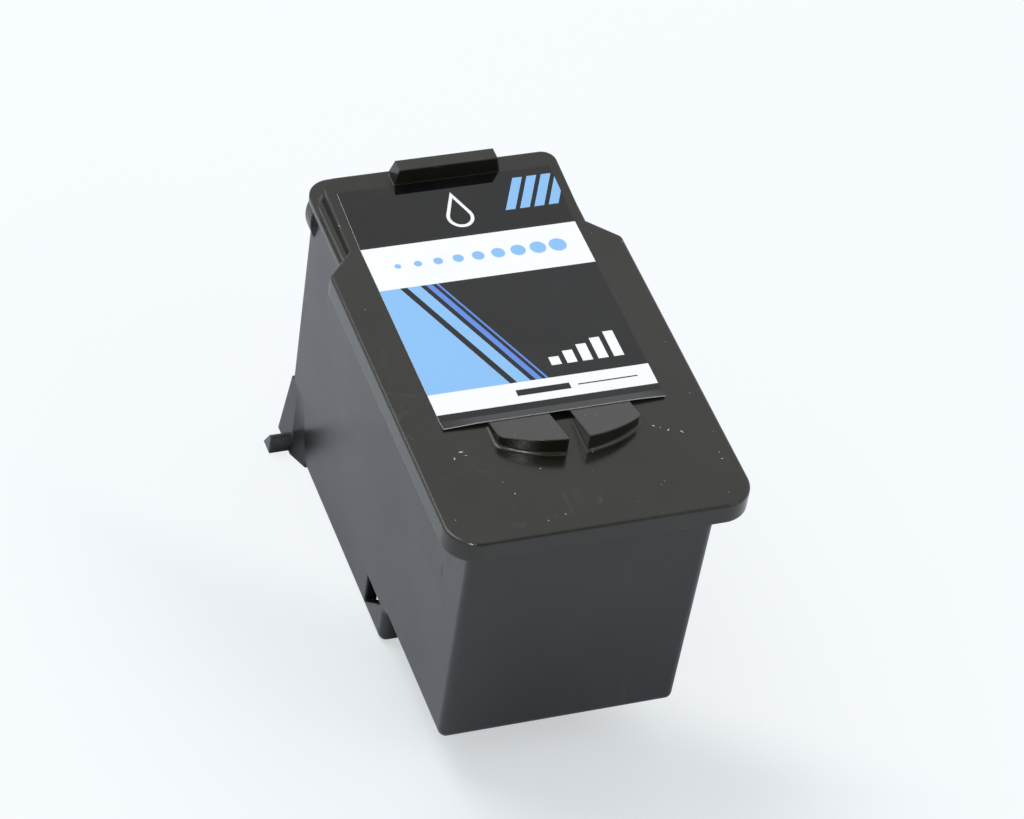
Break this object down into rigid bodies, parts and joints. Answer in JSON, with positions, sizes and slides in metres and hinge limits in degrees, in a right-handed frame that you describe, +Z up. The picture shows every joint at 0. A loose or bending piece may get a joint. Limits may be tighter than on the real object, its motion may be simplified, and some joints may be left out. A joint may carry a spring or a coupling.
{
  "type": "inkjet ink cartridge",
  "caption": "Black plastic ink cartridge: a drafted tank on a shorter nose that holds the print head, under an overhanging welded lid with a label, a finger rest and a latch block.",
  "frame": {"origin": "middle of the outline seen from above, on the plane that the foot of the nose stands on", "axes": "+Z up towards the lid; +Y towards the contact side, where the latch block is; +X across the width"},
  "size_m": [0.038, 0.0666, 0.0461],
  "materials": {
    "case_plastic": "satin moulded black",
    "lid_plastic": "satin moulded black",
    "label_film": "printed, glossy",
    "absorber_fibre": "fibrous, soaked with black ink",
    "steel_mesh": "fine woven",
    "silicon": "polished",
    "nozzle_layer": "gilded",
    "tape_film": "amber film with copper tracks",
    "gilding": "gilded",
    "resin": "cured resin"
  },
  "bodies": {
    "root": {"tank_case": "case_plastic", "lid": "lid_plastic", "top_label": "label_film", "ink_absorber": "absorber_fibre", "filter_screen": "steel_mesh", "print_chip": "silicon", "nozzle_plate": "nozzle_layer", "wiring_tape": "tape_film", "contact_pads": "gilding", "edge_sealant": "resin", "lead_sealant": "resin"}
  },
  "joints": []
}
